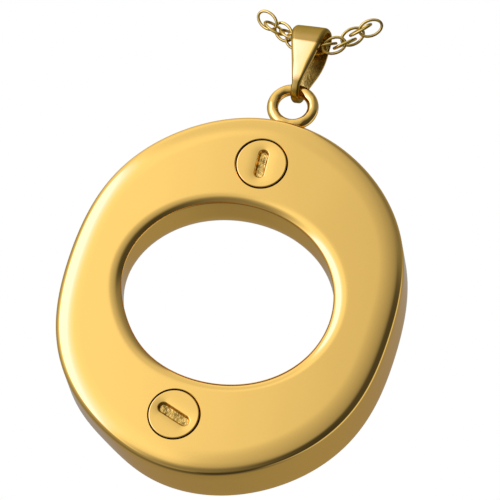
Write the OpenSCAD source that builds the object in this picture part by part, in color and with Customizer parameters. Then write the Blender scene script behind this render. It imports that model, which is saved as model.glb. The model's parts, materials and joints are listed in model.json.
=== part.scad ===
/* [Ring body] */
// Mean radius of the outer outline
outline_r = 14.5; // [12:0.01:17]
// How much taller than wide the outline is, as a share of its mean radius
outline_oval = 0.0585; // [0:0.0005:0.1]
// How much the outline fills out towards its four diagonals
outline_square = 0.008; // [0:0.001:0.02]
// How far three shallow swells stand out along the outline
outline_three = 0.004; // [0:0.001:0.01]
// Heading of the first hollow between the three swells, in degrees
outline_three_turn = 11; // [0:1:119]
// How far six shallow swells stand out along the outline
outline_six = 0.005; // [0:0.001:0.01]
// Lean of the outline's long axis to the right, in degrees
outline_lean = 4; // [-10:1:10]
// How far the outer wall's lower part leans in, from the front face to the back face
wall_lean = 0.26; // [0:0.02:0.4]
// Heading where the outer wall leans most, in degrees
wall_lean_turn = 272; // [240:1:300]
// Depth of the flat stretch at the back's lower left, along the outer wall
wall_flat = 0.28; // [0:0.02:0.4]
// Heading of that flat stretch, in degrees
wall_flat_turn = 242; // [220:1:260]
// Mean radius of the opening
hole_r = 8.15; // [6:0.01:9]
// How much wider than tall the opening is, as a share of its mean radius
hole_oval = 0.063; // [0:0.001:0.1]
// Sideways place of the opening's centre
hole_x = -0.25; // [-0.6:0.05:0.6]
// Height of the opening's centre
hole_z = -0.14; // [-0.6:0.02:0.6]
// Depth of the flat stretch at the opening's lower left
hole_flat = 0.26; // [0:0.02:0.4]
// Heading of the flat stretch, in degrees
hole_flat_turn = 205; // [180:5:270]
// How narrow the flat stretch is: a higher power makes it shorter
hole_flat_power = 12; // [6:2:20]
// Sideways drift of the opening to the left, from the front face to the back face
hole_drift = 0.28; // [0:0.02:0.4]
// Whole thickness from front face to back face, in the middle
body_t = 6.8; // [6:0.1:8]
// Depth by which each face is crowned from the middle to its sides
crown = 0.25; // [0:0.05:0.4]
// Turn of the crown's ridge to the left, in degrees
crown_lean = 17; // [0:1:30]
// Depth by which the faces fall away at their edges
edge_drop = 0.4; // [0.2:0.05:0.6]
// Width of the soft roll-off along the outer edge
outer_roll = 2.0; // [1:0.1:2.4]
// Radius of the polished corner along the front's outer edge
outer_corner = 0.6; // [0.2:0.05:0.8]
// Width of the soft roll-off along the opening
inner_roll = 0.9; // [0.5:0.1:1.4]
// Width of the rounding of the opening's edge at the back
back_round = 1.9; // [0.8:0.1:2]
// Depth of the rounding of the opening's edge at the back
back_depth = 3.4; // [1.6:0.1:3.6]

/* [Filler plugs] */
// Radius of a plug's flush head
head_r = 2.03; // [1.6:0.01:2.3]
// Thickness of a plug's head
head_t = 0.9; // [0.6:0.1:1.4]
// Radius of a plug's shank
shank_r = 1.4; // [1:0.05:1.6]
// Length of a plug's shank
shank_len = 2.2; // [1.5:0.1:2.6]
// Depth of the small chamber below the front face
chamber_depth = 4.4; // [3.8:0.1:4.8]
// Gap between a head and its seat
head_gap = 0.1; // [0.05:0.01:0.14]
// Running clearance round a shank
shank_gap = 0.05; // [0.02:0.01:0.08]
// Width of the bevel round a seat and round a head
seat_bevel = 0.06; // [0.04:0.01:0.12]
// Depth of a driver slot
slot_depth = 0.35; // [0.2:0.05:0.5]
// Sideways place of the upper plug
plug_top_x = -0.54; // [-1:0.02:0.5]
// Height of the upper plug above the body's centre
plug_top_z = 11.12; // [10.8:0.02:11.4]
// Sideways place of the lower plug
plug_bottom_x = -1.4; // [-1.6:0.02:0.5]
// Height of the lower plug, below the body's centre
plug_bottom_z = -11.14; // [-11.4:0.02:-10.8]
// Length of the upper plug's slot
slot_top_len = 2.3; // [1.8:0.1:3]
// Width of the upper plug's slot
slot_top_w = 0.7; // [0.4:0.05:0.9]
// Turn of the upper slot from the level, in degrees
slot_top_turn = 92; // [0:1:180]
// Length of the lower plug's slot
slot_bottom_len = 2.8; // [1.8:0.1:3]
// Width of the lower plug's slot
slot_bottom_w = 0.8; // [0.4:0.05:0.9]
// Turn of the lower slot from the level, in degrees
slot_bottom_turn = -20; // [-90:1:90]

/* [Wire loop] */
// Radius of the loop along the middle of its wire
loop_r = 1.64; // [1.5:0.02:1.8]
// Half thickness of the wire, measured along the loop's radius
loop_wire_r = 0.46; // [0.4:0.02:0.5]
// Half depth of the wire, from front to back
loop_wire_d = 0.46; // [0.4:0.02:0.48]
// Height of the loop's centre above the body's centre
loop_z = 17.55; // [17.4:0.05:17.7]
// Lean of the loop towards the back, in degrees
loop_lean = 10; // [0:1:12]
// Turn of the whole body about the loop's centre, so that its weight hangs below it, in degrees
hang_turn = 0.66; // [-1:0.02:1]
// Radius of the solder seat under the loop
foot_r = 0.7; // [0.5:0.05:0.9]

/* [Bail] */
// Inner radius of the bail's top bend, round the chain
eye_r = 1.0; // [1:0.05:1.2]
// Inner radius of the bail's bottom bend, round the wire loop
tip_r = 0.75; // [0.73:0.01:0.78]
// Thickness of the bail's strip
strip_t = 0.38; // [0.32:0.01:0.42]
// Distance between the centres of the two bends
bail_len = 4.15; // [4.1:0.01:4.2]
// Width of the bail over its top bend
bail_top_w = 3.05; // [2.8:0.05:3.2]
// Width of the bail beside its top bend
bail_w = 2.7; // [2.4:0.05:2.8]
// Outward bow of the back plate's edges
back_bow = 0.35; // [0:0.05:0.4]
// Width of the bail's waist, above the wire loop
waist_w = 0.6; // [0.5:0.02:0.64]
// Width of the bail's tip, inside the wire loop
tip_w = 0.66; // [0.56:0.02:0.68]
// Turn of the chain and the bail to the left, seen from above, in degrees
bail_turn = 11; // [0:1:12]
// Lean of the bail's top to the left, in degrees
bail_lean = 2; // [0:0.2:4]

/* [Chain] */
// Distance between the centres of two links
link_pitch = 0.82; // [0.81:0.01:0.84]
// Outside length of a link
link_len = 2.18; // [2.14:0.02:2.22]
// Outside width of a link
link_w = 1.52; // [1.48:0.01:1.54]
// Diameter of a link's wire
link_wire = 0.24; // [0.18:0.01:0.24]
// Distance between two links that lie side by side
link_side = 0.4; // [0.39:0.01:0.42]
// Turn of the middle link about the chain's line, in degrees
link_turn = 30; // [15:5:35]
// Sideways place of the middle link
link_x = 0.5; // [0.4:0.05:0.6]
// Height of the middle link, which is the lowest one
link_z = -0.23; // [-0.3:0.01:-0.16]

/* [Hidden] */
gold = [0.86, 0.69, 0.36];
bright_gold = [0.93, 0.78, 0.45];
$fn = 64;

// The origin is the centre of the bail's top bend, where the chain runs through.
// The loop's wire hangs a little above the inside of the bail's bottom bend.
tip_gap = 0.22;
loop_x = bail_len * sin(bail_lean) * cos(bail_turn);
tip_y = -bail_len * sin(bail_lean) * sin(bail_turn);
loop_inner = loop_r - loop_wire_r;
loop_drop = bail_len * cos(bail_lean) + tip_r - tip_gap + loop_inner * cos(loop_lean);
loop_y = tip_y - loop_inner * sin(loop_lean);
// The body's middle stands this far back, so that its weight hangs below the loop's centre.
body_y = 0.04;
front_y = -body_t / 2;
// A cutting shape runs this far past the surface that it cuts.
past = 0.5;

// Radius of the outline and of the opening at the angle a.
function outer_r(a) = outline_r * (1 - outline_oval * cos(2 * (a + outline_lean))
    - outline_square * cos(4 * a) - outline_three * cos(3 * (a - outline_three_turn))
    - outline_six * cos(6 * a));
// What the wall's lean and its flat add to the outline's radius at the share t of the way back.
wall_flat_power = 40;
function wall_shift(a, t) = wall_lean * (1 - t) * pow(max(0, cos(a - wall_lean_turn)), 2)
    - wall_flat * t * pow(max(0, cos(a - wall_flat_turn)), wall_flat_power);
function inner_r(a) = hole_r * (1 + hole_oval * cos(2 * a))
    - hole_flat * pow(max(0, cos(a - hole_flat_turn)), hole_flat_power);

// Places the body, the loop and the plugs, which share the body's own centre.
module hang() {
    translate([loop_x, body_y, -loop_drop]) rotate([0, hang_turn, 0]) translate([0, 0, -loop_z])
        children();
}

// One section of the band, from the front crease of the opening round to the back.
// Each row holds: whether it hangs on the outer edge, inset from that edge, depth.
roll_steps = 4;
corner_steps = 4;
round_steps = 5;
function roll_y(u) = front_y + edge_drop * (1 - u) * (1 - u);
function roll_slope(u) = atan(2 * edge_drop / outer_roll * (1 - u));

// The front's outer corner starts at this share of the roll-off, where it has the same slope.
function corner_share(slope) = outer_corner * (1 - sin(slope)) / outer_roll;
corner_slope = roll_slope(corner_share(roll_slope(0)));
corner_start = corner_share(corner_slope);
corner_y = roll_y(corner_start) + outer_corner * cos(corner_slope);

function rim_rows() = concat(
    [for (i = [0:roll_steps]) [0, inner_roll * i / roll_steps, roll_y(i / roll_steps)]],
    [for (i = [roll_steps:-1:1])
        let (u = corner_start + (1 - corner_start) * i / roll_steps)
        [1, outer_roll * u, roll_y(u)]],
    [for (i = [corner_steps:-1:0])
        let (a = (90 - corner_slope) * i / corner_steps)
        [1, outer_corner * (1 - cos(a)), corner_y - outer_corner * sin(a)]],
    [for (i = [0:roll_steps]) [1, outer_roll * i / roll_steps, -roll_y(i / roll_steps)]],
    [for (i = [round_steps:-1:0])
        let (a = 90 * i / round_steps)
        [0, back_round * (1 - cos(a)), -front_y - back_depth * (1 - sin(a))]]);
band_turns = 72;

function band_point(a, row) =
    let (t = (row[2] - front_y) / body_t,
         edge = row[0] == 1 ? outer_r(a) + wall_shift(a, t) - row[1] : inner_r(a) + row[1],
         x = edge * cos(a) + (row[0] == 1 ? 0 : hole_x - hole_drift * t),
         z = edge * sin(a) + (row[0] == 1 ? 0 : hole_z),
         across = (x * cos(crown_lean) + z * sin(crown_lean)) / outline_r)
    [x, row[2] * (1 + crown / front_y * across * across), z];

// Closes a grid of rings, each with the same number of points, into one skin.
module ring_skin(rings) {
    count = len(rings);
    size = len(rings[0]);
    points = [for (ring = rings) for (p = ring) p];
    faces = [for (i = [0:count - 1]) for (j = [0:size - 1])
        let (a = i * size + j,
             b = i * size + (j + 1) % size,
             c = ((i + 1) % count) * size + (j + 1) % size,
             d = ((i + 1) % count) * size + j)
        for (half = [[a, b, c], [a, c, d]]) half];
    polyhedron(points, faces);
}

module band() {
    rows = rim_rows();
    ring_skin([for (i = [0:band_turns - 1]) [for (row = rows) band_point(i * 360 / band_turns, row)]]);
}

// A round bar along +Y from the depth y0 to the depth y1.
module bar_y(r, y0, y1, r_end = -1) {
    translate([0, y0, 0]) rotate([-90, 0, 0]) cylinder(h = y1 - y0, r1 = r, r2 = r_end < 0 ? r : r_end);
}

module plug_seat() {
    seat_r = head_r + head_gap;
    bar_y(seat_r, front_y - past, front_y + head_t + shank_gap);
    bar_y(seat_r + seat_bevel, front_y, front_y + seat_bevel, seat_r);
    bar_y(shank_r + shank_gap, front_y, front_y + chamber_depth);
}

module wire_loop() {
    rotate([-loop_lean, 0, 0]) rotate([90, 0, 0]) rotate_extrude()
        polygon([for (a = [0:15:345]) [loop_r + loop_wire_r * cos(a), loop_wire_d * sin(a)]]);
}

// The solder seat is sunk into the band by this much.
foot_sink = 0.5;

module pendant() {
    color(gold) hang() {
        difference() {
            band();
            translate([plug_top_x, 0, plug_top_z]) plug_seat();
            translate([plug_bottom_x, 0, plug_bottom_z]) plug_seat();
        }
        translate([0, loop_y - body_y, loop_z]) wire_loop();
        foot_low = outer_r(90) - foot_sink;
        foot_high = loop_z - loop_r - loop_wire_r / 2;
        translate([0, loop_y - body_y, foot_low]) cylinder(h = foot_high - foot_low, r = foot_r);
    }
}

// The shank starts this far inside the head, so that the two are one solid.
shank_overlap = 0.01;

module plug(slot_len, slot_w, slot_turn) {
    half = (slot_len - slot_w) / 2;
    difference() {
        union() {
            bar_y(head_r - seat_bevel, front_y, front_y + seat_bevel, head_r);
            bar_y(head_r, front_y + seat_bevel, front_y + head_t);
            bar_y(shank_r, front_y + head_t - shank_overlap, front_y + head_t + shank_len);
        }
        rotate([0, -slot_turn, 0]) {
            translate([-half, front_y - past, -slot_w / 2]) cube([2 * half, past + slot_depth, slot_w]);
            for (side = [-1, 1])
                translate([side * half, 0, 0]) bar_y(slot_w / 2, front_y - past, front_y + slot_depth);
        }
    }
}

module plug_top() {
    color(bright_gold) hang() translate([plug_top_x, 0, plug_top_z])
        plug(slot_top_len, slot_top_w, slot_top_turn);
}

module plug_bottom() {
    color(bright_gold) hang() translate([plug_bottom_x, 0, plug_bottom_z])
        plug(slot_bottom_len, slot_bottom_w, slot_bottom_turn);
}

// Side outline of a belt round two circles, drawn with depth along X and height along Y.
// The straight stretches leave each circle at the angle where they touch it.
belt_steps = 20;
function belt(top_r, low_r) =
    let (tilt = asin((top_r - low_r) / bail_len))
    concat(
        [for (i = [0:belt_steps]) let (a = -tilt + i * (180 + 2 * tilt) / belt_steps)
            [top_r * cos(a), top_r * sin(a)]],
        [for (i = [0:belt_steps]) let (a = 180 + tilt + i * (180 - 2 * tilt) / belt_steps)
            [low_r * cos(a), low_r * sin(a) - bail_len]]);

module bail_strip() {
    rotate([90, 0, 90]) translate([0, 0, -bail_top_w])
        linear_extrude(height = 2 * bail_top_w) difference() {
            polygon(belt(eye_r + strip_t, tip_r + strip_t));
            polygon(belt(eye_r, tip_r));
        }
}

// Half width of a bail plate at the share u of the way from the top bend to the waist.
function plate_half(u, bow) = (bail_w + (waist_w - bail_w) * u) / 2 + bow * sin(180 * u);

// Right edge of a plate, as rows of half width and height, from the tip to the top.
// The waist stands a little above the bottom bend's centre, and the tip starts below it.
waist_rise = 0.1;
tip_fall = 0.35;
plate_past = 0.1;
bow_steps = 8;
function plate_rows(bow) = concat(
    [[tip_w / 2, -bail_len - tip_r - strip_t - plate_past], [tip_w / 2, -bail_len - tip_fall]],
    [for (i = [bow_steps:-1:0]) let (u = i / bow_steps) [plate_half(u, bow), (waist_rise - bail_len) * u]],
    [[bail_top_w / 2, eye_r + strip_t + plate_past]]);

// One half of the bail's front-view shape, from the middle plane to the depth y_end.
module plate_shape(bow, y_end) {
    rows = plate_rows(bow);
    last = len(rows) - 1;
    translate([0, max(y_end, 0), 0]) rotate([90, 0, 0]) linear_extrude(height = abs(y_end))
        polygon(concat(rows, [for (i = [last:-1:0]) [-rows[i][0], rows[i][1]]]));
}

module bail() {
    reach = eye_r + strip_t + past;
    color(gold) rotate([0, -bail_lean, -bail_turn]) intersection() {
        bail_strip();
        union() {
            plate_shape(0, -reach);
            plate_shape(back_bow, reach);
        }
    }
}

// Slope of the links on each side, from the middle one outwards.
left_slopes = [0, 6, 14, 24, 30, 31, 30];
right_slopes = [0, 12, 28, 39, 41, 37, 34];
left_links = len(left_slopes) - 1;
function link_slope(k) = k < 0 ? left_slopes[-k] : right_slopes[k];
// Centre of the link k places from the middle one; each step runs half along each link.
function link_centre(k) = k == 0 ? [link_x, link_z] :
    let (way = sign(k), before = link_slope(k - way), here = link_slope(k))
    link_centre(k - way) + link_pitch / 2 *
        [way * (cos(before) + cos(here)), sin(before) + sin(here)];
// Links that lie side by side stand off the chain's line, in turn to one side and the other.
function link_shift(k) = link_side / 2 * ((k + 40) % 4 < 2 ? 1 : -1);

link_turns = 16;
wire_sides = 6;
module oval_link() {
    wire_r = link_wire / 2;
    long = link_len / 2 - wire_r;
    wide = link_w / 2 - wire_r;
    ring_skin([for (i = [0:link_turns - 1])
        let (u = i * 360 / link_turns,
             out = [wide * cos(u), long * sin(u)] / norm([wide * cos(u), long * sin(u)]))
        [for (j = [0:wire_sides - 1])
            let (v = (j + 0.5) * 360 / wire_sides)
            [long * cos(u) + wire_r * cos(v) * out[0],
             wire_r * sin(v),
             wide * sin(u) + wire_r * cos(v) * out[1]]]]);
}

// Each link stands at right angles to its neighbours.
module link(index) {
    k = index - 1 - left_links;
    centre = link_centre(k);
    color(bright_gold) rotate([0, 0, -bail_turn]) translate([centre[0], 0, centre[1]])
        rotate([0, -sign(k) * link_slope(k), 0]) rotate([link_turn + 90 * abs(k % 2), 0, 0])
            translate([0, link_shift(k), 0]) oval_link();
}

pendant();
plug_top();
plug_bottom();
bail();
link(1);  // link_01
link(2);  // link_02
link(3);  // link_03
link(4);  // link_04
link(5);  // link_05
link(6);  // link_06
link(7);  // link_07
link(8);  // link_08
link(9);  // link_09
link(10);  // link_10
link(11);  // link_11
link(12);  // link_12
link(13);  // link_13
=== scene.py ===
"""Dresses an open oval ring pendant, its filler plugs, bail and chain, and sets up the studio."""
import json
import math

import bmesh
import bpy
from mathutils import Matrix, Vector
from mathutils.bvhtree import BVHTree


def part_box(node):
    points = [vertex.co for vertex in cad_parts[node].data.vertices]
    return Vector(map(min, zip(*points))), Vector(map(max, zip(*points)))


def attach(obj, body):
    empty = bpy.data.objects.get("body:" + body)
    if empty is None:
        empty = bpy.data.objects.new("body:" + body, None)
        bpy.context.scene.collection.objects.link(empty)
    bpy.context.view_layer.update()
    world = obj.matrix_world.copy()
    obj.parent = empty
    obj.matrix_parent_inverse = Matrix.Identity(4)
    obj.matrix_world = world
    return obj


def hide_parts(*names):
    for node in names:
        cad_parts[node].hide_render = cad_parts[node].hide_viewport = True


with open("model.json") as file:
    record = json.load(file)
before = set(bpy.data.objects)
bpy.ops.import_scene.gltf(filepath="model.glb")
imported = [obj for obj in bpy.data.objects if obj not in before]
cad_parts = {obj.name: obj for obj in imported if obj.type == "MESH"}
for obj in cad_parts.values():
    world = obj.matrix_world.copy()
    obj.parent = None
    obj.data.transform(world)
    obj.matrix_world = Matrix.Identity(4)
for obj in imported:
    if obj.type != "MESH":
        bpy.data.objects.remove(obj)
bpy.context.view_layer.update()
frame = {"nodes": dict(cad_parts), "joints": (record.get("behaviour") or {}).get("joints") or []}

bl_info = {
    "name": "Oval Ring Pendant",
    "version": (1, 0, 0),
    "blender": (4, 5, 0),
    "location": "View3D > Sidebar > Pendant",
    "description": "Polished ring pendant with filler plugs, a tapered bail and a fine chain",
    "category": "Add Mesh",
}

MM = 0.001
JOINT_PLACES = {joint["name"]: joint.get("pos_m") for joint in frame["joints"]}
LOOP_CENTRE = Vector(JOINT_PLACES["loop_swing"])
BODY_LOW, BODY_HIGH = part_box("pendant")
BODY_THICKNESS = BODY_HIGH.y - BODY_LOW.y
BODY_MID_Y = (BODY_HIGH.y + BODY_LOW.y) / 2
LINK_NAMES = sorted(name for name in frame["nodes"] if name.startswith("link_"))


# Properties that a user would change

def length(name, description, default_mm):
    return bpy.props.FloatProperty(name=name, description=description, default=default_mm * MM,
                                   precision=5, subtype="DISTANCE", unit="LENGTH")


def angle(name, description, degrees):
    return bpy.props.FloatProperty(name=name, description=description,
                                   default=math.radians(degrees), subtype="ANGLE")


def share(name, description, default):
    return bpy.props.FloatProperty(name=name, description=description, default=default, precision=4)


def colour(name, description, default):
    return bpy.props.FloatVectorProperty(name=name, description=description, default=default,
                                         size=3, min=0, max=1, subtype="COLOR")


class PendantBodyProps(bpy.types.PropertyGroup):
    """Sizes of the ring body and its wire loop"""
    outline_r: length("Outline radius", "Mean radius of the outer outline", 14.5)
    outline_oval: share("Outline oval", "How much taller than wide the outline is", 0.0585)
    outline_square: share("Outline square", "How much the outline fills out towards its diagonals", 0.008)
    outline_three: share("Outline swells, three", "How far three shallow swells stand out", 0.004)
    outline_three_turn: angle("Three swells' turn", "Heading of the first hollow between three swells", 11)
    outline_six: share("Outline swells, six", "How far six shallow swells stand out", 0.005)
    outline_lean: angle("Outline lean", "Lean of the outline's long axis to the right", 4)
    wall_lean: length("Wall lean", "How far the outer wall's lower part leans in towards the back", 0.26)
    wall_lean_turn: angle("Wall lean's heading", "Heading where the outer wall leans most", 272)
    wall_flat: length("Wall flat", "Depth of the flat stretch at the back's lower left", 0.28)
    wall_flat_turn: angle("Wall flat's heading", "Heading of that flat stretch", 242)
    wall_flat_power: share("Wall flat's power", "How narrow that flat stretch is", 40)
    hole_r: length("Opening radius", "Mean radius of the opening", 8.15)
    hole_oval: share("Opening oval", "How much wider than tall the opening is", 0.063)
    hole_flat: length("Opening flat", "Depth of the flat stretch at the opening's lower left", 0.26)
    hole_flat_turn: angle("Opening flat's heading", "Heading of the flat stretch", 205)
    hole_flat_power: share("Opening flat's power", "How narrow the flat stretch is", 12)
    hole_drift: length("Opening drift", "Sideways drift of the opening from front to back", 0.28)
    hole_x: length("Opening sideways", "Sideways place of the opening's centre", -0.25)
    hole_z: length("Opening height", "Height of the opening's centre", -0.14)
    crown: length("Crown", "Depth by which each face is crowned from its middle to its sides", 0.25)
    crown_lean: angle("Crown lean", "Turn of the crown's ridge to the left", 17)
    edge_drop: length("Edge drop", "Depth by which the faces fall away at their edges", 0.4)
    outer_roll: length("Outer roll-off", "Width of the soft roll-off along the outer edge", 2.0)
    inner_roll: length("Inner roll-off", "Width of the soft roll-off along the opening", 0.9)
    outer_power: share("Outer roll-off's power", "How much of its fall lies near the edge", 2.3)
    inner_power: share("Inner roll-off's power", "How much of its fall lies near the edge", 3)
    inner_spread: share("Inner roll-off's spread", "How much wider that roll-off is on two sides", 0.45)
    inner_spread_turn: angle("Inner spread's heading", "Heading of one of those two sides", 25)
    back_round: length("Back rounding width", "Width of the rounding of the opening's edge at the back", 1.9)
    back_depth: length("Back rounding depth", "Depth of the rounding of the opening's edge at the back", 3.4)
    outer_corner: length("Outer corner", "Radius of the front's corner along the outer edge", 0.7)
    back_corner: length("Back corner", "Radius of the back's corner along the outer edge", 0.25)
    inner_corner: length("Inner corner", "Radius of the polished corner along the opening", 0.35)
    hang_turn: angle("Hanging turn", "Turn of the body about the loop's centre", 0.66)
    loop_drop: length("Loop height", "Height of the loop's centre above the body's centre", 17.55)
    loop_r: length("Loop radius", "Radius of the loop along the middle of its wire", 1.64)
    wire_r: length("Wire half thickness", "Half thickness of the wire along the loop's radius", 0.46)
    wire_d: length("Wire half depth", "Half depth of the wire from front to back", 0.46)
    loop_lean: angle("Loop lean", "Lean of the loop towards the back", 10)
    foot_r: length("Foot radius", "Radius of the solder seat under the loop", 0.7)


class PendantPlugProps(bpy.types.PropertyGroup):
    """Sizes of the filler plugs and their seats"""
    head_r: length("Head radius", "Radius of a plug's flush head", 2.03)
    head_t: length("Head thickness", "Thickness of a plug's head", 0.9)
    shank_r: length("Shank radius", "Radius of a plug's shank", 1.4)
    shank_gap: length("Shank gap", "Running clearance round a shank", 0.05)
    head_gap: length("Head gap", "Gap between a head and its seat", 0.1)
    bevel: length("Bevel", "Width of the bevel round a head and round its seat", 0.06)
    chamber: length("Chamber depth", "Depth of the chamber below the front face", 4.4)
    slot_depth: length("Slot depth", "Depth of a driver slot", 0.35)
    slot_wall: length("Slot wall", "Half width of the sloping wall round a slot", 0.09)
    slot_worn: length("Slot wear", "Depth by which a slot's edge is rubbed down", 0.05)
    slot_soft: length("Slot softness", "Distance over which a slot's worn edge fades", 0.3)
    top_slot_length: length("Upper slot length", "Length of the upper plug's slot", 2.3)
    top_slot_width: length("Upper slot width", "Width of the upper plug's slot", 0.7)
    top_slot_turn: angle("Upper slot turn", "Turn of the upper slot from the level", 92)
    low_slot_length: length("Lower slot length", "Length of the lower plug's slot", 2.8)
    low_slot_width: length("Lower slot width", "Width of the lower plug's slot", 0.8)
    low_slot_turn: angle("Lower slot turn", "Turn of the lower slot from the level", -20)


class PendantBailProps(bpy.types.PropertyGroup):
    """Sizes of the bail's strip"""
    eye_r: length("Eye radius", "Inner radius of the top bend", 1.0)
    tip_r: length("Tip radius", "Inner radius of the bottom bend", 0.75)
    strip_t: length("Strip thickness", "Thickness of the strip", 0.38)
    reach: length("Reach", "Distance between the centres of the two bends", 4.15)
    top_width: length("Top width", "Width over the top bend", 3.05)
    width: length("Width", "Width beside the top bend", 2.7)
    back_bow: length("Back bow", "Outward bow of the back plate's edges", 0.35)
    waist: length("Waist", "Width above the wire loop", 0.6)
    tip_width: length("Tip width", "Width inside the wire loop", 0.66)
    crown: length("Crown", "Depth by which the outside is crowned from its middle to its edges", 0.02)
    shoulder: length("Shoulder", "Width of the soft shoulder along each edge", 0.36)
    shoulder_drop: length("Shoulder drop", "Depth by which a shoulder falls away", 0.2)
    turn: angle("Turn", "Turn to the left, seen from above", 11)
    lean: angle("Lean", "Lean of the top to the left", 2)


class PendantChainProps(bpy.types.PropertyGroup):
    """Sizes of the chain's links"""
    wire: length("Link wire", "Diameter of a link's wire", 0.24)


class PendantFinishProps(bpy.types.PropertyGroup):
    """Colours of the metal, some of them darker to paint in shade on the bail and round the plugs"""
    gold: colour("Gold", "Colour of the polished gold", (0.95, 0.61, 0.165))
    # painted shade: this darker colour stands in for the dimmer reflection of the bail's top bend, which is
    # also made rougher
    satin_shade_gold: colour("Satin gold", "Colour of the bail's less polished bend", (0.41, 0.265, 0.052))
    # painted shade: a darker colour that stands in for the darker surroundings that the curved tip would
    # mirror, along with more roughness
    tip_shade_gold: colour("Bail tip", "Colour of the bail's dull tip", (0.3, 0.2, 0.035))
    chain_gold: colour("Chain gold", "Colour of the chain", (0.6, 0.42, 0.1))
    rough_gold: colour("Unpolished gold", "Colour of the slot floors", (0.66, 0.43, 0.1))
    inner_gold: colour("Bail inside", "Colour of the bail's unpolished inside", (0.52, 0.375, 0.08))
    # painted shade: near-black for the gaps round the plugs, on the seats' walls and the plugs' sides
    seam_painted_shade: colour("Seam", "Colour of the dark seam round a plug", (0.05, 0.03, 0.01))


# Helpers

def props(context):
    """The sizes of the body, plugs, bail and chain, and the finish."""
    scene = context.scene
    return (scene.pendant_body, scene.pendant_plugs, scene.pendant_bail, scene.pendant_chain,
            scene.pendant_finish)


def new_object(name, bm, *materials):
    """Turns a bmesh into an object of the scene."""
    mesh = bpy.data.meshes.new(name)
    bm.to_mesh(mesh)
    bm.free()
    for material in materials:
        mesh.materials.append(material)
    made = bpy.data.objects.new(name, mesh)
    bpy.context.scene.collection.objects.link(made)
    return made


def new_piece(name, bm, materials, body, smooth_angle=30):
    """Turns a bmesh into a piece that rides on a body, smooth except at sharp corners."""
    bmesh.ops.recalc_face_normals(bm, faces=bm.faces)
    piece = new_object(name, bm, *materials)
    piece.data.shade_smooth()
    piece.data.set_sharp_from_angle(angle=math.radians(smooth_angle))
    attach(piece, body)
    return piece


def skin_rings(bm, rings, closed=True):
    """Joins rings of points, each with as many points, into one skin."""
    grid = [[bm.verts.new(point) for point in ring] for ring in rings]
    count, size = len(grid), len(grid[0])
    for i in range(count if closed else count - 1):
        row, following = grid[i], grid[(i + 1) % count]
        for j in range(size):
            k = (j + 1) % size
            bm.faces.new((row[j], row[k], following[k], following[j]))
    return grid


def close_ends(bm, grid):
    """Puts a face over the first and the last ring of an open skin."""
    bm.faces.new(grid[0])
    bm.faces.new(list(reversed(grid[-1])))


def headings(steps):
    return [2 * math.pi * i / steps for i in range(steps)]


def circle(radius, depth, steps):
    """Points round the Y axis at a depth."""
    return [Vector((radius * math.cos(a), depth, radius * math.sin(a))) for a in headings(steps)]


def body_place(body):
    """Matrix from the ring body's own centre to the frame."""
    centre = Vector((LOOP_CENTRE.x, BODY_MID_Y, LOOP_CENTRE.z))
    return (Matrix.Translation(centre) @ Matrix.Rotation(body.hang_turn, 4, "Y")
            @ Matrix.Translation((0, 0, -body.loop_drop)))


# Shader nodes

# A mix node's two inputs and its output, for plain values and for colours
MIX_SOCKETS = {"FLOAT": (2, 3, 0), "RGBA": (6, 7, 2)}


def feed(tree, socket, value):
    """Links a socket to another node's output, or sets it to a plain value."""
    if isinstance(value, bpy.types.NodeSocket):
        tree.links.new(value, socket)
    else:
        socket.default_value = value


def add_node(tree, kind, **values):
    """Adds a shader node and feeds its named inputs."""
    node = tree.nodes.new(kind)
    for key, value in values.items():
        feed(tree, node.inputs[key.replace("_", " ")], value)
    return node


def calculate(tree, operation, *values):
    node = tree.nodes.new("ShaderNodeMath")
    node.operation = operation
    for socket, value in zip(node.inputs, values):
        feed(tree, socket, value)
    return node.outputs["Value"]


def blend(tree, kind, share_socket, first, second):
    """The first value at a share of 0 and the second at 1."""
    node = tree.nodes.new("ShaderNodeMix")
    node.data_type = kind
    first_input, second_input, output = MIX_SOCKETS[kind]
    feed(tree, node.inputs[0], share_socket)
    feed(tree, node.inputs[first_input], first)
    feed(tree, node.inputs[second_input], second)
    return node.outputs[output]


def remap(tree, value, start, end, least=0.0, most=1.0):
    """Turns a value between start and end into one between least and most."""
    node = add_node(tree, "ShaderNodeMapRange", Value=value, From_Min=start, From_Max=end,
                    To_Min=least, To_Max=most)
    return node.outputs["Result"]


def curve(tree, angle_socket, points):
    """A curve through points of angle in degrees and value, over the whole circle."""
    turned = remap(tree, angle_socket, -math.pi, math.pi)
    node = add_node(tree, "ShaderNodeFloatCurve", Value=turned)
    top = max(value for _, value in points)
    handles = node.mapping.curves[0].points
    while len(handles) < len(points):
        handles.new(0.5, 0.5)
    for handle, (degrees, value) in zip(handles, points):
        handle.location = ((degrees + 180) / 360, value / top)
        handle.handle_type = "AUTO_CLAMPED"
    node.mapping.update()
    return calculate(tree, "MULTIPLY", node.outputs["Value"], float(top))


def coordinates(tree):
    """Places on the piece, in metres of the frame."""
    return tree.nodes.new("ShaderNodeTexCoord").outputs["Object"]


# Materials

# Keeps the gold's colour where the surface is seen at a low angle
EDGE_TINT = (0.9, 0.74, 0.5, 1)
# Heights of the wheel's waves and of the mill's grain
WAVE_HEIGHT = 1 * MM
GRAIN_HEIGHT = 0.2 * MM
# Size of the patches of different gloss, and the least and the most share of the roughness there
GLOSS_SCALE = 400.0
GLOSS_LEAST, GLOSS_MOST = 0.6, 1.5
# Between these values the noise of the gloss takes effect, and that of the pits and peaks
GLOSS_NOISE = (0.3, 0.7)
PIT_END, PEAK_START = 0.35, 0.65


def metal(name, base_color, roughness):
    """A bare metal of one colour, with its nodes and its shader."""
    material = bpy.data.materials.new(name)
    material.use_nodes = True
    shader = material.node_tree.nodes["Principled BSDF"]
    shader.inputs["Base Color"].default_value = (*base_color, 1)
    shader.inputs["Metallic"].default_value = 1
    shader.inputs["Roughness"].default_value = roughness
    shader.inputs["Specular Tint"].default_value = EDGE_TINT
    return material, material.node_tree, shader


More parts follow.
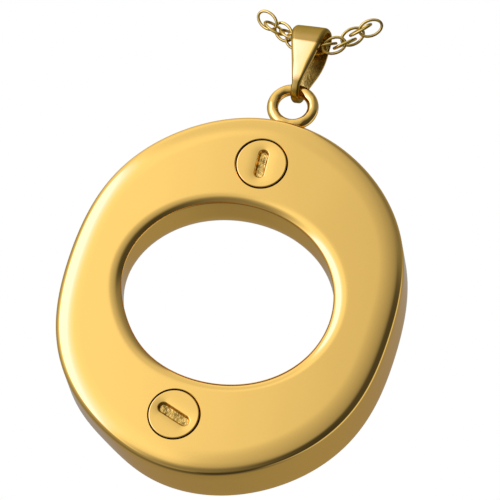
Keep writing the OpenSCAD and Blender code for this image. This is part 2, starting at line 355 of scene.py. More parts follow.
def roughen(tree, shader, noise, strength, height):
    """Bumps a shader's surface with a noise."""
    bump = add_node(tree, "ShaderNodeBump", Strength=strength, Distance=height,
                    Height=noise.outputs["Fac"])
    feed(tree, shader.inputs["Normal"], bump.outputs["Normal"])


def polished_gold(name, base_color, roughness=0.06, ripple=0.04, ripple_scale=90):
    """Hand-polished gold: soft waves left by the wheel and a slight change of gloss."""
    material, tree, shader = metal(name, base_color, roughness)
    place = coordinates(tree)
    wave = add_node(tree, "ShaderNodeTexNoise", Vector=place, Scale=ripple_scale, Detail=1.0,
                    Roughness=0.4)
    roughen(tree, shader, wave, ripple, WAVE_HEIGHT)
    patches = add_node(tree, "ShaderNodeTexNoise", Vector=place, Scale=GLOSS_SCALE, Detail=4.0)
    gloss = remap(tree, patches.outputs["Fac"], *GLOSS_NOISE, roughness * GLOSS_LEAST,
                  roughness * GLOSS_MOST)
    feed(tree, shader.inputs["Roughness"], gloss)
    return material


def unpolished_gold(name, base_color, grain=2600, depth=0.6, darkest=0.25, lightest=1.5, detail=5.0,
                    roughness=0.35):
    """Gold as it came from the mill: matt, grainy and darker in its pits."""
    material, tree, shader = metal(name, base_color, roughness)
    grains = add_node(tree, "ShaderNodeTexNoise", Vector=coordinates(tree), Scale=grain,
                      Detail=detail, Roughness=0.7)
    ramp = add_node(tree, "ShaderNodeValToRGB", Fac=grains.outputs["Fac"])
    pit, peak = ramp.color_ramp.elements
    pit.position, peak.position = PIT_END, PEAK_START
    pit.color = (*[part * darkest for part in base_color], 1)
    peak.color = (*[min(1, part * lightest) for part in base_color], 1)
    feed(tree, shader.inputs["Base Color"], ramp.outputs["Color"])
    roughen(tree, shader, grains, depth, GRAIN_HEIGHT)
    return material


def satin_and_shade(material, polished_z, satin_z, shade_color, satin_roughness):
    """Leaves a metal duller and less polished from one height on, up or down, and paints shade there with a
    darker colour.
    """
    tree = material.node_tree
    shader = tree.nodes["Principled BSDF"]
    parts = add_node(tree, "ShaderNodeSeparateXYZ", Vector=coordinates(tree))
    rise = remap(tree, parts.outputs["Z"], polished_z, satin_z)
    changes = (("Roughness", "FLOAT", satin_roughness), ("Base Color", "RGBA", (*shade_color, 1)))
    for name, kind, dull_and_shade in changes:
        socket = shader.inputs[name]
        polished = socket.links[0].from_socket if socket.is_linked else socket.default_value
        feed(tree, socket, blend(tree, kind, rise, polished, dull_and_shade))


# Shape of the ring body

def outer_radius(body, theta):
    """Radius of the outline at a heading: a leaning oval with faint corners and swells."""
    return body.outline_r * (1 - body.outline_oval * math.cos(2 * (theta + body.outline_lean))
                             - body.outline_square * math.cos(4 * theta)
                             - body.outline_three * math.cos(3 * (theta - body.outline_three_turn))
                             - body.outline_six * math.cos(6 * theta))


def wall_shift(body, theta, t):
    """What the wall's lean and its flat add to the outline at the share t of the way back."""
    lean = max(0, math.cos(theta - body.wall_lean_turn)) ** 2
    flat = max(0, math.cos(theta - body.wall_flat_turn)) ** body.wall_flat_power
    return body.wall_lean * (1 - t) * lean - body.wall_flat * t * flat


def inner_radius(body, theta):
    """Radius of the opening at a heading: an oval with one flat stretch."""
    flat = max(0, math.cos(theta - body.hole_flat_turn)) ** body.hole_flat_power
    return body.hole_r * (1 + body.hole_oval * math.cos(2 * theta)) - body.hole_flat * flat


def roll_depth(body, power, u):
    """Height of the face above its crease, at the share u of the roll-off's width."""
    return body.edge_drop * (1 - (1 - u) ** power)


def edge_profile(body, roll, power, corner):
    """Insets and heights from a wall over its small corner and its soft roll-off to the face."""
    crease = BODY_THICKNESS / 2 - body.edge_drop
    steepest = power * body.edge_drop / roll
    corner_steps, roll_steps, fitting_passes = 8, 16, 4
    # where the corner's arc runs into the roll-off, and the slope there
    start = 0
    for _ in range(fitting_passes):
        slope = math.atan(steepest * (1 - start) ** (power - 1))
        start = corner * (1 - math.sin(slope)) / roll
    centre = crease + roll_depth(body, power, start) - corner * math.cos(slope)
    profile = []
    for i in range(corner_steps + 1):
        a = (math.pi / 2 - slope) * i / corner_steps
        profile.append((corner * (1 - math.cos(a)), centre + corner * math.sin(a)))
    for i in range(1, roll_steps + 1):
        u = start + (1 - start) * i / roll_steps
        profile.append((roll * u, crease + roll_depth(body, power, u)))
    return profile


def edge_rows(body, side, roll, power, corner, toward):
    """Rows of one edge from its wall to the face, toward the front (-1) or the back (1)."""
    return [(side, inset, toward * height) for inset, height in edge_profile(body, roll, power, corner)]


def section_rows(body):
    """Rows of the band's section: what it hangs on, inset or share of the way, and depth."""
    half = BODY_THICKNESS / 2
    crease = half - body.edge_drop
    rows = []
    flat_steps, round_steps, wall_steps = 14, 12, 4
    inner_edge = edge_rows(body, "inner", body.inner_roll, body.inner_power, body.inner_corner, -1)
    outer_edge = edge_rows(body, "outer", body.outer_roll, body.outer_power, body.outer_corner, -1)
    back_edge = edge_rows(body, "outer", body.outer_roll, body.outer_power, body.back_corner, 1)

    # from the opening's wall over the front face, round the outside and over the back face
    rows.extend(inner_edge)
    rows.extend(("between", i / flat_steps, -half) for i in range(1, flat_steps))
    rows.extend(reversed(outer_edge))
    front_end, back_end = outer_edge[0][2], back_edge[0][2]
    rows.extend(("outer", 0, front_end + (back_end - front_end) * i / wall_steps)
                for i in range(1, wall_steps))
    rows.extend(back_edge)
    rows.extend(("behind", 1 - i / flat_steps, half) for i in range(1, flat_steps))
    for i in range(round_steps, -1, -1):
        a = math.pi / 2 * i / round_steps
        inset = body.back_round * (1 - math.cos(a))
        rows.append(("inner", inset, half - body.back_depth * (1 - math.sin(a))))
    wall_start = half - body.back_depth
    wall_reach = wall_start + crease - body.inner_corner
    rows.extend(("inner", 0, wall_start - wall_reach * i / wall_steps) for i in range(1, wall_steps))
    return rows


def section_ring(body, theta, rows):
    """Points of the band's section at a heading."""
    outer = outer_radius(body, theta)
    inner = inner_radius(body, theta)
    direction = Vector((math.cos(theta), 0, math.sin(theta)))
    hole_centre = Vector((body.hole_x, 0, body.hole_z))
    spread = 1 + body.inner_spread * math.cos(theta - body.inner_spread_turn) ** 2
    face_in = hole_centre + direction * (inner + body.inner_roll * spread)
    back_in = hole_centre + direction * (inner + body.back_round)
    back_in.x -= body.hole_drift
    ring = []
    for edge, amount, depth in rows:
        t = depth / BODY_THICKNESS + 0.5
        wall = outer + wall_shift(body, theta, t)
        face_out = direction * (wall - body.outer_roll)
        if edge == "inner":
            inset = amount * spread if depth < 0 else amount
            point = hole_centre + direction * (inner + inset)
            point.x -= body.hole_drift * t
        elif edge == "behind":
            point = back_in.lerp(face_out, amount)
        elif edge == "outer":
            point = direction * (wall - amount)
        else:
            point = face_in.lerp(face_out, amount)
        across = point.x * math.cos(body.crown_lean) + point.z * math.sin(body.crown_lean)
        crowned = depth * (1 - body.crown / (BODY_THICKNESS / 2) * (across / body.outline_r) ** 2)
        ring.append(Vector((point.x, crowned, point.z)))
    return ring


def ring_skin(body, place, turns=288):
    """The whole band, before its seats are cut."""
    bm = bmesh.new()
    rows = section_rows(body)
    rings = [[place @ point for point in section_ring(body, theta, rows)] for theta in headings(turns)]
    skin_rings(bm, rings)
    return bm


SEAT_TURNS = 96
# How far a seat's cutting form stands out of the front face
SEAT_ABOVE = 0.5 * MM
# A cut face this near the uncut skin, and facing nearly the same way, takes its smooth normals
SKIN_REACH = 0.004 * MM
SAME_SIDE = 0.9
SMOOTH_ENOUGH = 0.85
# Below this a triangle has no area
NO_AREA = 1e-30


def plug_centre(name):
    """A plug's own axis, read off its plain solid."""
    low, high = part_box(name)
    return Vector(((low.x + high.x) / 2, 0, (low.z + high.z) / 2))


def seat_profile(plugs):
    """Rows of radius and depth below the front face, from above the face to the chamber's floor."""
    seat_r = plugs.head_r + plugs.head_gap
    bore_r = plugs.shank_r + plugs.shank_gap
    return [(seat_r + plugs.bevel + SEAT_ABOVE, -SEAT_ABOVE), (seat_r, plugs.bevel),
            (seat_r, plugs.head_t + plugs.shank_gap), (bore_r, plugs.head_t + plugs.shank_gap),
            (bore_r, plugs.chamber)]


def cut(piece, tools):
    """Cuts closed tools out of a piece and keeps its own smooth normals on what is left."""
    uncut = piece.copy()
    uncut.data = piece.data.copy()
    bpy.context.scene.collection.objects.link(uncut)
    for tool in tools:
        modifier = piece.modifiers.new("cut", "BOOLEAN")
        modifier.operation = "DIFFERENCE"
        modifier.solver = "EXACT"
        modifier.material_mode = "TRANSFER"
        modifier.object = tool
    depsgraph = bpy.context.evaluated_depsgraph_get()
    made = bpy.data.meshes.new_from_object(piece.evaluated_get(depsgraph))
    piece.modifiers.clear()
    piece.data = made
    keep_normals(piece, uncut.data)
    for helper in [uncut, *tools]:
        bpy.data.objects.remove(helper)


def keep_normals(piece, source):
    """Gives each corner that lies on the source's skin the source's smooth normal there."""
    mesh = piece.data
    bm = bmesh.new()
    bm.from_mesh(source)
    bmesh.ops.triangulate(bm, faces=bm.faces)
    bm.normal_update()
    tree = BVHTree.FromBMesh(bm)
    bm.faces.ensure_lookup_table()
    normals = [Vector(corner.vector) for corner in mesh.corner_normals]
    for face in mesh.polygons:
        spot, normal, _, distance = tree.find_nearest(face.center)
        if spot is None or distance > SKIN_REACH or normal.dot(face.normal) < SAME_SIDE:
            continue
        for loop_index in face.loop_indices:
            point = mesh.vertices[mesh.loops[loop_index].vertex_index].co
            spot, _, near, _ = tree.find_nearest(point)
            corners = bm.faces[near].verts
            weights = barycentric(spot, [v.co for v in corners])
            smooth = sum((v.normal * w for v, w in zip(corners, weights)), Vector())
            if smooth.dot(face.normal) > SMOOTH_ENOUGH:
                normals[loop_index] = smooth.normalized()
    bm.free()
    mesh.normals_split_custom_set(normals)


def barycentric(point, triangle):
    """Shares of a triangle's three corners that make up a point on it."""
    a, b, c = triangle
    ab, ac, ap = b - a, c - a, point - a
    d00, d01, d11 = ab.dot(ab), ab.dot(ac), ac.dot(ac)
    d20, d21 = ap.dot(ab), ap.dot(ac)
    scale = d00 * d11 - d01 * d01
    if abs(scale) < NO_AREA:
        return 1 / 3, 1 / 3, 1 / 3
    v = (d11 * d20 - d01 * d21) / scale
    w = (d00 * d21 - d01 * d20) / scale
    return 1 - v - w, v, w


class PENDANT_OT_ring(bpy.types.Operator):
    """Build the polished ring body with the two plug seats"""
    bl_idname = "pendant.ring"
    bl_label = "Ring body"

    def execute(self, context):
        body, plugs, _, _, finish = props(context)
        gold = polished_gold("ring_gold", finish.gold)
        # painted shade: near-black on the seats' walls, bores and chambers
        seam_shade = unpolished_gold("seam_painted_shade", finish.seam_painted_shade, depth=0.2)
        bm = ring_skin(body, body_place(body))
        piece = new_piece("ring_body", bm, [gold], "pendant")
        cut(piece, [self.seat_tool(plugs, name, gold, seam_shade) for name in ("plug_top", "plug_bottom")])
        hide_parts("pendant")
        return {"FINISHED"}

    def seat_tool(self, plugs, name, gold, seam_shade):
        """The closed form that cuts a plug's seat, bore and chamber, with painted shade but for its bevel.
        """
        centre = plug_centre(name)
        bm = bmesh.new()
        rings = [circle(radius, depth, SEAT_TURNS) for radius, depth in seat_profile(plugs)]
        close_ends(bm, skin_rings(bm, rings, closed=False))
        bm.transform(Matrix.Translation((centre.x, BODY_LOW.y, centre.z)))
        bm.faces.ensure_lookup_table()
        for face in bm.faces[SEAT_TURNS:]:
            face.material_index = 1
        bmesh.ops.recalc_face_normals(bm, faces=bm.faces)
        return new_object(name + "_seat", bm, gold, seam_shade)


class PENDANT_OT_loop(bpy.types.Operator):
    """Build the wire loop and the solder seat under it"""
    bl_idname = "pendant.loop"
    bl_label = "Wire loop"

    def execute(self, context):
        body, _, _, _, finish = props(context)
        gold = polished_gold("loop_gold", finish.gold, roughness=0.1, ripple=0.15, ripple_scale=900)
        place = body_place(body)
        centre_y = LOOP_CENTRE.y - (body.loop_r - body.wire_r) * math.sin(body.loop_lean)
        lift = Matrix.Translation((0, centre_y - BODY_MID_Y, body.loop_drop))
        lean = Matrix.Rotation(-body.loop_lean, 4, "X")
        turns, sides = 96, 32
        rings = []
        for out in circle(1, 0, turns):
            ring = []
            for b in headings(sides):
                point = out * (body.loop_r + body.wire_r * math.cos(b))
                point.y = body.wire_d * math.sin(b)
                ring.append(place @ lift @ lean @ point)
            rings.append(ring)
        bm = bmesh.new()
        skin_rings(bm, rings)
        piece = new_piece("wire_loop", bm, [gold], "pendant")
        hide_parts("pendant")
        self.build_foot(body, place, lift, gold)
        return {"FINISHED"}

    def build_foot(self, body, place, lift, gold):
        """A drop of solder, narrow in the middle, from the body's top edge up to the wire."""
        # how far the drop sinks into the body, and into the wire as a share of its half thickness
        sink, wire_sink = 0.4 * MM, 0.2
        # the share of the foot's radius at its narrowest, and how fast it flares from there
        narrowest, flare = 0.86, 0.5
        top = body.outline_r * (1 + body.outline_oval) - body.loop_drop
        low, high = top - sink, -body.loop_r - body.wire_r * wire_sink
        steps, sides = 12, 40
        rings = []
        for i in range(steps + 1):
            u = i / steps
            radius = body.foot_r * (narrowest + flare * (u - 0.5) ** 2)
            height = low + (high - low) * u
            rings.append([place @ lift @ Vector((radius * math.cos(a), radius * math.sin(a), height))
                          for a in headings(sides)])
        bm = bmesh.new()
        close_ends(bm, skin_rings(bm, rings, closed=False))
        piece = new_piece("solder_foot", bm, [gold], "pendant")
        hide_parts("pendant")


class PENDANT_OT_plugs(bpy.types.Operator):
    """Build the two slotted filler plugs"""
    bl_idname = "pendant.plugs"
    bl_label = "Filler plugs"

    def execute(self, context):
        _, plugs, _, _, finish = props(context)
        gold = polished_gold("plug_gold", finish.gold, roughness=0.05, ripple=0.03)
        rough = unpolished_gold("slot_gold", finish.rough_gold, grain=2400, darkest=0.5, detail=2.0,
                                roughness=0.28)
        # painted shade on each head's side and shank, where they stand in the gap
        seam_shade = unpolished_gold("plug_seam_painted_shade", finish.seam_painted_shade, depth=0.2)
        metals = (gold, rough, seam_shade)
        self.build(plugs, "plug_top", metals,
                   plugs.top_slot_length, plugs.top_slot_width, plugs.top_slot_turn)
        self.build(plugs, "plug_bottom", metals,
                   plugs.low_slot_length, plugs.low_slot_width, plugs.low_slot_turn)
        return {"FINISHED"}

    def build(self, plugs, name, metals, slot_length, slot_width, slot_turn):
        """A head drawn in fine rings that dip into the slot, and the plain shank behind it."""
        low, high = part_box(name)
        centre = plug_centre(name)
        place = Matrix.Translation((centre.x, low.y, centre.z))
        turns, head_rings = 192, 60
        face_r = plugs.head_r - plugs.bevel
        along = Vector((math.cos(slot_turn), 0, math.sin(slot_turn)))
        slot = (along, (slot_length - slot_width) / 2, slot_width / 2)
        rings = []
        for i in range(1, head_rings + 1):
            ring = circle(face_r * i / head_rings, 0, turns)
            for point in ring:
                point.y = self.slot_dip(plugs, point, *slot)
            rings.append(ring)
        shank_end = high.y - low.y
        for radius, depth in ((plugs.head_r, plugs.bevel), (plugs.head_r, plugs.head_t),
                              (plugs.shank_r, plugs.head_t), (plugs.shank_r, shank_end)):
            rings.append(circle(radius, depth, turns))
        bm = bmesh.new()
        grid = skin_rings(bm, rings, closed=False)
        bm.faces.new(list(reversed(grid[-1])))
        # painted shade, dark from the bevel's outer end back
        bm.faces.ensure_lookup_table()
        for face in bm.faces[head_rings * turns:]:
            face.material_index = 2
        middle = bm.verts.new((0, self.slot_dip(plugs, Vector((0, 0, 0)), *slot), 0))
        for j in range(turns):
            bm.faces.new((middle, grid[0][j], grid[0][(j + 1) % turns]))
        # rough from this share of the slot's depth down
        rough_from = 0.3
        for face in bm.faces:
            if face.material_index == 0 and face.calc_center_median().y > plugs.slot_depth * rough_from:
                face.material_index = 1
        bm.transform(place)
        piece = new_piece(name + "_gold", bm, metals, name, smooth_angle=50)
        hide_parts(name)

    def slot_dip(self, plugs, point, along, half, slot_r):
        """Depth of the head's face: a worn, soft edge round a round-ended slot."""
        reach = max(-half, min(half, point.dot(along)))
        outside = (point - along * reach).length - slot_r
        wall = (plugs.slot_wall - outside) / (2 * plugs.slot_wall)
        wall = max(0.0, min(1.0, wall))
        worn = plugs.slot_worn * math.exp(-max(0.0, outside) / plugs.slot_soft)
        return max(0.0, worn + (plugs.slot_depth - worn) * wall * wall * (3 - 2 * wall))


# Heights over which the bail's top bend turns from polished to rougher and darker, and its tip turns rougher
# and darker too; the darker colours are painted shade
TOP_SATIN_AND_SHADE = (-0.48 * MM, -0.32 * MM)
TIP_DULL_AND_SHADE = (-3.3 * MM, -3.9 * MM)
TOP_ROUGHNESS = 0.45
TIP_ROUGHNESS = 0.3
# The most of half the strip's width that a shoulder takes
SHOULDER_MOST = 0.45


class PENDANT_OT_bail(bpy.types.Operator):
    """Build the tapered bail from one bent strip with soft shoulders"""
    bl_idname = "pendant.bail"
    bl_label = "Bail"

    def execute(self, context):
        _, _, bail, _, finish = props(context)
        gold = polished_gold("bail_gold", finish.gold, roughness=0.07, ripple=0.03, ripple_scale=500)
        inside = unpolished_gold("bail_inside_gold", finish.inner_gold, grain=1100, depth=0.35, darkest=0.6)
        # painted shade on the top bend and the tip: darker colours as well as more roughness
        satin_and_shade(gold, *TOP_SATIN_AND_SHADE, finish.satin_shade_gold, TOP_ROUGHNESS)
        satin_and_shade(gold, *TIP_DULL_AND_SHADE, finish.tip_shade_gold, TIP_ROUGHNESS)
        place = Matrix.Rotation(-bail.turn, 4, "Z") @ Matrix.Rotation(-bail.lean, 4, "Y")
        outer_columns = self.outer_columns()
        rings = [[place @ point for point in self.section(bail, outer_columns, *spot)]
                 for spot in self.path(bail)]
        bm = bmesh.new()
        skin_rings(bm, rings)
        bm.faces.ensure_lookup_table()
        size = len(rings[0])
        first_inside = len(outer_columns)
        for index, face in enumerate(bm.faces):
            if first_inside <= index % size < size - 1:
                face.material_index = 1
        piece = new_piece("bail_strip", bm, [gold, inside], "bail", smooth_angle=35)
        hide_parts("bail")
        return {"FINISHED"}

    def path(self, bail):
        """Heading of the strip's outside, height of the bend's centre and inner radius, all round."""
        tilt = math.asin((bail.eye_r - bail.tip_r) / bail.reach)
        top_steps, low_steps, plate_steps = 56, 36, 40
        front, back = math.pi + tilt, 2 * math.pi - tilt
        top = [(-tilt + (math.pi + 2 * tilt) * i / top_steps, 0, bail.eye_r) for i in range(top_steps + 1)]
        low = [(front + (back - front) * i / low_steps, -bail.reach, bail.tip_r)
               for i in range(low_steps + 1)]
        plate = [(-bail.reach * i / plate_steps,
                  bail.eye_r + (bail.tip_r - bail.eye_r) * i / plate_steps) for i in range(1, plate_steps)]
        return (top + [(front, height, radius) for height, radius in plate]
                + low + [(back, height, radius) for height, radius in reversed(plate)])

    def outer_columns(self):
        """Places across the outside, as the side and the share of the shoulder or of the middle."""
        steps = 8
        shoulder = [("shoulder", i / steps) for i in range(steps + 1)]
        middle = [("middle", i / steps) for i in range(1, steps)]
        return ([(-1, kind, value) for kind, value in shoulder + middle] + [(0, "middle", 1)]
                + [(1, kind, value) for kind, value in reversed(shoulder + middle)])

    def section(self, bail, outer_columns, heading, centre_z, radius):
        """One closed section of the strip, from the left edge over the outside and back inside."""
        outward = Vector((0, math.cos(heading), math.sin(heading)))
        inner = Vector((0, 0, centre_z)) + outward * radius
        is_back = outward.y > 0
        inner_half = self.half_width(bail, inner.z, is_back)
        outer_half = self.half_width(bail, inner.z + outward.z * bail.strip_t, is_back)
        shoulder_w = min(bail.shoulder, outer_half * SHOULDER_MOST)
        shoulder_drop = bail.shoulder_drop * shoulder_w / bail.shoulder
        points = []
        for side, kind, value in outer_columns:
            if kind == "shoulder":
                inset = shoulder_w * value
                drop = shoulder_drop * (1 - value) ** 2
            else:
                inset = shoulder_w + (outer_half - shoulder_w) * value
                drop = 0
            away = (outer_half - inset) / outer_half
            height = bail.strip_t - drop - bail.crown * away * away
            half = inner_half + (outer_half - inner_half) * height / bail.strip_t
            points.append(inner + outward * height + Vector((side * max(half - inset, 0), 0, 0)))
        inside_steps = 8
        for i in range(inside_steps + 1):
            points.append(inner + Vector((inner_half * (1 - 2 * i / inside_steps), 0, 0)))
        return points

    def half_width(self, bail, height, is_back):
        """Half width of the strip at a height, wider in the back plate's middle."""
        # the waist stands a little above the bottom bend's centre, the tip starts below it, and the
        # top's full width would be reached a little above the top bend
        waist_rise, tip_drop, top_rise = 0.1 * MM, 0.35 * MM, 0.1 * MM
        waist_z = waist_rise - bail.reach
        tip_z = -bail.reach - tip_drop
        top_z = bail.eye_r + bail.strip_t + top_rise
        if height >= 0:
            return (bail.width + (bail.top_width - bail.width) * height / top_z) / 2
        if height >= waist_z:
            u = height / waist_z
            bow = bail.back_bow * math.sin(math.pi * u) if is_back else 0
            return (bail.width + (bail.waist - bail.width) * u) / 2 + bow
        u = min(1, (waist_z - height) / (waist_z - tip_z))
        return (bail.waist + (bail.tip_width - bail.waist) * u) / 2


class PENDANT_OT_chain(bpy.types.Operator):
    """Build the chain's links with round wire"""
    bl_idname = "pendant.chain"
    bl_label = "Chain"

    def execute(self, context):
        _, _, _, chain, finish = props(context)
        gold = polished_gold("chain_gold", finish.chain_gold, roughness=0.16, ripple=0.1, ripple_scale=1500)
        for name in LINK_NAMES:
            self.build_link(name, chain, gold)
        return {"FINISHED"}

    def link_axes(self, name):
        """Centre, long axis, wide axis and half sizes of a link, read off its plain solid."""
        points = [v.co.copy() for v in frame["nodes"][name].data.vertices]
        centre = sum(points, Vector()) / len(points)
        farthest = max(points, key=lambda p: (p - centre).length)
        along = (farthest - centre).normalized()
        across = [(p - centre) - along * (p - centre).dot(along) for p in points]
        side = max(across, key=lambda p: p.length).normalized()
        long_half = max(abs((p - centre).dot(along)) for p in points)
        wide_half = max(abs((p - centre).dot(side)) for p in points)
        return centre, along, side, long_half, wide_half

    def build_link(self, name, chain, gold):
        """Round wire along the oval that the plain link follows."""
        centre, along, side, long_half, wide_half = self.link_axes(name)
        normal = along.cross(side)
        wire_r = chain.wire / 2
        long_mid, wide_mid = long_half - wire_r, wide_half - wire_r
        turns, sides = 72, 14
        rings = []
        for a in headings(turns):
            middle = along * (long_mid * math.cos(a)) + side * (wide_mid * math.sin(a))
            out = (along * (wide_mid * math.cos(a)) + side * (long_mid * math.sin(a))).normalized()
            rings.append([centre + middle + out * (wire_r * math.cos(b)) + normal * (wire_r * math.sin(b))
                          for b in headings(sides)])
        bm = bmesh.new()
        skin_rings(bm, rings)
        piece = new_piece(name + "_wire", bm, [gold], "chain")
        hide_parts(name)


# Studio

# The camera stands before the ring, to its right and below it, and rolls so that the ring leans
CAMERA_BACK = Vector((0.170, -0.933, -0.317))
CAMERA_RIGHT = Vector((0.984, 0.180, 0))
CAMERA_ROLL = math.radians(17.01)
CAMERA_DISTANCE = 600 * MM
VIEW_WIDTH = 40 * MM
SENSOR = 36
CLIP_START, CLIP_END = 0.05, 10
# Where the camera looks: to the picture's right of the ring's middle and above it
AIM_RIGHT, AIM_UP = 1.80 * MM, 3.33 * MM
FLOOR_DROP = 300 * MM
FLOOR_HALF = 3
FLOOR_SHADE = 0.8
FLOOR_ROUGHNESS = 0.8
# Light from the studio's walls: angle from the front, positive to the right, and brightness
ROOM_LIGHT = [(-180, 0.39), (-140, 0.36), (-118, 0.4), (-95, 0.58), (-78, 0.95), (-64, 1.5),
              (-54, 3.3), (-46, 2.6), (-36, 1.8), (-22, 1.2), (-14, 1.1), (-10, 0.93), (-6, 0.74),
              (0, 0.62), (5, 0.56), (12, 0.48), (19, 0.4), (30, 0.18), (40, 0.08), (85, 0.07),
              (104, 0.15), (112, 0.9), (122, 0.9), (132, 0.42), (150, 0.39), (180, 0.39)]
# The same for the softer light from above
UPPER_LIGHT = [(-180, 0.5), (-110, 0.9), (-60, 1.05), (-30, 0.88), (-10, 0.82), (5, 0.6), (15, 0.46),
               (40, 0.28), (75, 0.22), (110, 0.25), (180, 0.45)]
# How far the upper light takes over: height above the horizon in degrees, and share
UPPER_SHARE = [(-180, 0), (18, 0), (42, 1), (180, 1)]
# How much light is left below the horizon, and how far that holds for each heading
LOWER_LIGHT = [(-180, 0.3), (-60, 0.3), (-45, 0.38), (-34, 0.48), (-27, 0.58), (-20, 0.72), (-12, 0.88),
               (0, 1), (180, 1)]
LOWER_SHARE = [(-180, 0.5), (-135, 0.5), (-110, 0.6), (-60, 0.9), (-40, 0.9), (-15, 1), (85, 1),
               (115, 0), (150, 0.2), (180, 0.5)]
# Light from far below the horizon for each heading, and how far it takes over for each height
FLOOR_LIGHT = [(-180, 0.1), (-140, 0.14), (-100, 0.3), (-60, 0.35), (-37, 0.28), (0, 0.24), (50, 0.16),
               (109, 0.06), (150, 0.05), (180, 0.1)]
FLOOR_SHARE = [(-180, 1), (-62, 1), (-54, 0.8), (-42, 0.5), (-30, 0.25), (-18, 0.05), (-10, 0), (180, 0)]
# Light stronger than a level is cooler: how much blue each step of surplus adds, and the most blue
COOL_FROM = 1.18
COOL_GAIN = 4.75
COOL_MOST = 4.0


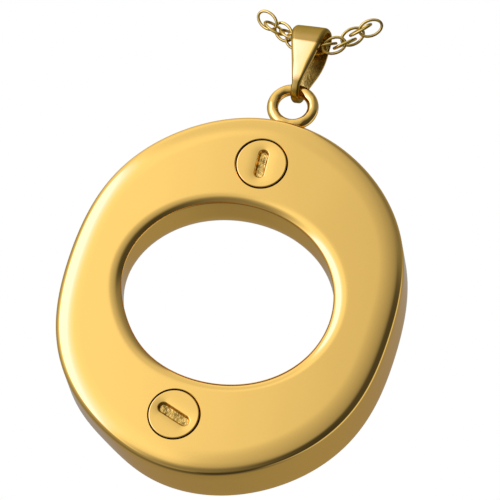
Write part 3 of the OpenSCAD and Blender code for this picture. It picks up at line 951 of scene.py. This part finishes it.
class PENDANT_OT_studio(bpy.types.Operator):
    """Set up the camera, the pale floor and the soft light"""
    bl_idname = "pendant.studio"
    bl_label = "Studio"

    def execute(self, context):
        body = props(context)[0]
        self.build_camera(context, body)
        self.build_floor()
        self.build_light(context)
        context.scene.view_settings.view_transform = "Standard"
        return {"FINISHED"}

    def build_camera(self, context, body):
        """Aims at the depth of the front's crease, in directions that turn with the hanging ring."""
        crease = Vector((0, -(BODY_THICKNESS / 2 - body.edge_drop), 0))
        place = body_place(body)
        turn = place.to_3x3()
        back = CAMERA_BACK.normalized()
        right = CAMERA_RIGHT.normalized()
        up = back.cross(right)
        image_right = right * math.cos(CAMERA_ROLL) + up * math.sin(CAMERA_ROLL)
        image_up = up * math.cos(CAMERA_ROLL) - right * math.sin(CAMERA_ROLL)
        aim = place @ crease + turn @ (image_right * AIM_RIGHT + image_up * AIM_UP)
        axes = Matrix((turn @ image_right, turn @ image_up, turn @ back)).transposed().to_4x4()
        data = bpy.data.cameras.new("camera")
        data.sensor_width = SENSOR
        data.lens = SENSOR * CAMERA_DISTANCE / VIEW_WIDTH
        data.clip_start, data.clip_end = CLIP_START, CLIP_END
        camera = bpy.data.objects.new("camera", data)
        camera.matrix_world = Matrix.Translation(aim + turn @ back * CAMERA_DISTANCE) @ axes
        context.scene.collection.objects.link(camera)
        context.scene.camera = camera

    def build_floor(self):
        """A pale floor that the gold doesn't mirror."""
        bm = bmesh.new()
        bmesh.ops.create_grid(bm, x_segments=1, y_segments=1, size=FLOOR_HALF)
        material = bpy.data.materials.new("pale_floor")
        material.use_nodes = True
        shader = material.node_tree.nodes["Principled BSDF"]
        shader.inputs["Base Color"].default_value = (FLOOR_SHADE, FLOOR_SHADE, FLOOR_SHADE, 1)
        shader.inputs["Roughness"].default_value = FLOOR_ROUGHNESS
        floor = new_object("floor", bm, material)
        floor.location.z = -FLOOR_DROP
        floor.visible_glossy = False

    def build_light(self, context):
        """White for the camera, and for the gold a light that changes with heading and height."""
        world = bpy.data.worlds.new("studio")
        context.scene.world = world
        world.use_nodes = True
        tree = world.node_tree
        tree.nodes.clear()
        direction = tree.nodes.new("ShaderNodeTexCoord").outputs["Generated"]
        parts = add_node(tree, "ShaderNodeSeparateXYZ", Vector=direction)
        forward = calculate(tree, "MULTIPLY", parts.outputs["Y"], -1.0)
        heading = calculate(tree, "ARCTAN2", parts.outputs["X"], forward)
        height = calculate(tree, "ARCSINE", parts.outputs["Z"])
        walls = curve(tree, heading, ROOM_LIGHT)
        upper = curve(tree, heading, UPPER_LIGHT)
        above = blend(tree, "FLOAT", curve(tree, height, UPPER_SHARE), walls, upper)
        dimmed = calculate(tree, "MULTIPLY", above, curve(tree, height, LOWER_LIGHT))
        lower = blend(tree, "FLOAT", curve(tree, heading, LOWER_SHARE), above, dimmed)
        below = curve(tree, heading, FLOOR_LIGHT)
        total = blend(tree, "FLOAT", curve(tree, height, FLOOR_SHARE), lower, below)
        surplus = calculate(tree, "MAXIMUM", calculate(tree, "SUBTRACT", total, COOL_FROM), 0.0)
        cool = calculate(tree, "MULTIPLY", surplus, COOL_GAIN)
        blue = calculate(tree, "MINIMUM", calculate(tree, "ADD", total, cool), COOL_MOST)
        tinted = add_node(tree, "ShaderNodeCombineColor", Red=total, Green=total, Blue=blue)
        room = add_node(tree, "ShaderNodeBackground", Color=tinted.outputs["Color"], Strength=1.0)
        white = add_node(tree, "ShaderNodeBackground", Color=(1, 1, 1, 1), Strength=1.0)
        seen = tree.nodes.new("ShaderNodeLightPath").outputs["Is Camera Ray"]
        mix = add_node(tree, "ShaderNodeMixShader", Fac=seen)
        tree.links.new(room.outputs["Background"], mix.inputs[1])
        tree.links.new(white.outputs["Background"], mix.inputs[2])
        add_node(tree, "ShaderNodeOutputWorld", Surface=mix.outputs["Shader"])


class PENDANT_PT_panel(bpy.types.Panel):
    """Lists the pendant's pieces and their sizes"""
    bl_idname = "PENDANT_PT_panel"
    bl_label = "Pendant"
    bl_space_type = "VIEW_3D"
    bl_region_type = "UI"
    bl_category = "Pendant"

    def draw(self, context):
        layout = self.layout
        for operator in OPERATORS:
            layout.operator(operator.bl_idname, text=operator.bl_label)
        for group in props(context):
            box = layout.box()
            for name in group.bl_rna.properties.keys():
                if name not in ("rna_type", "name"):
                    box.prop(group, name)


GROUPS = {
    "pendant_body": PendantBodyProps,
    "pendant_plugs": PendantPlugProps,
    "pendant_bail": PendantBailProps,
    "pendant_chain": PendantChainProps,
    "pendant_finish": PendantFinishProps,
}
OPERATORS = (
    PENDANT_OT_ring,
    PENDANT_OT_loop,
    PENDANT_OT_plugs,
    PENDANT_OT_bail,
    PENDANT_OT_chain,
    PENDANT_OT_studio,
)


def register():
    for group in GROUPS.values():
        bpy.utils.register_class(group)
    for name, group in GROUPS.items():
        setattr(bpy.types.Scene, name, bpy.props.PointerProperty(type=group))
    for operator in OPERATORS:
        bpy.utils.register_class(operator)
    bpy.utils.register_class(PENDANT_PT_panel)


def unregister():
    bpy.utils.unregister_class(PENDANT_PT_panel)
    for operator in reversed(OPERATORS):
        bpy.utils.unregister_class(operator)
    for name in GROUPS:
        delattr(bpy.types.Scene, name)
    for group in GROUPS.values():
        bpy.utils.unregister_class(group)


def main():
    register()
    bpy.ops.pendant.ring()
    bpy.ops.pendant.loop()
    bpy.ops.pendant.plugs()
    bpy.ops.pendant.bail()
    bpy.ops.pendant.chain()
    bpy.ops.pendant.studio()


if __name__ == "__main__":
    main()
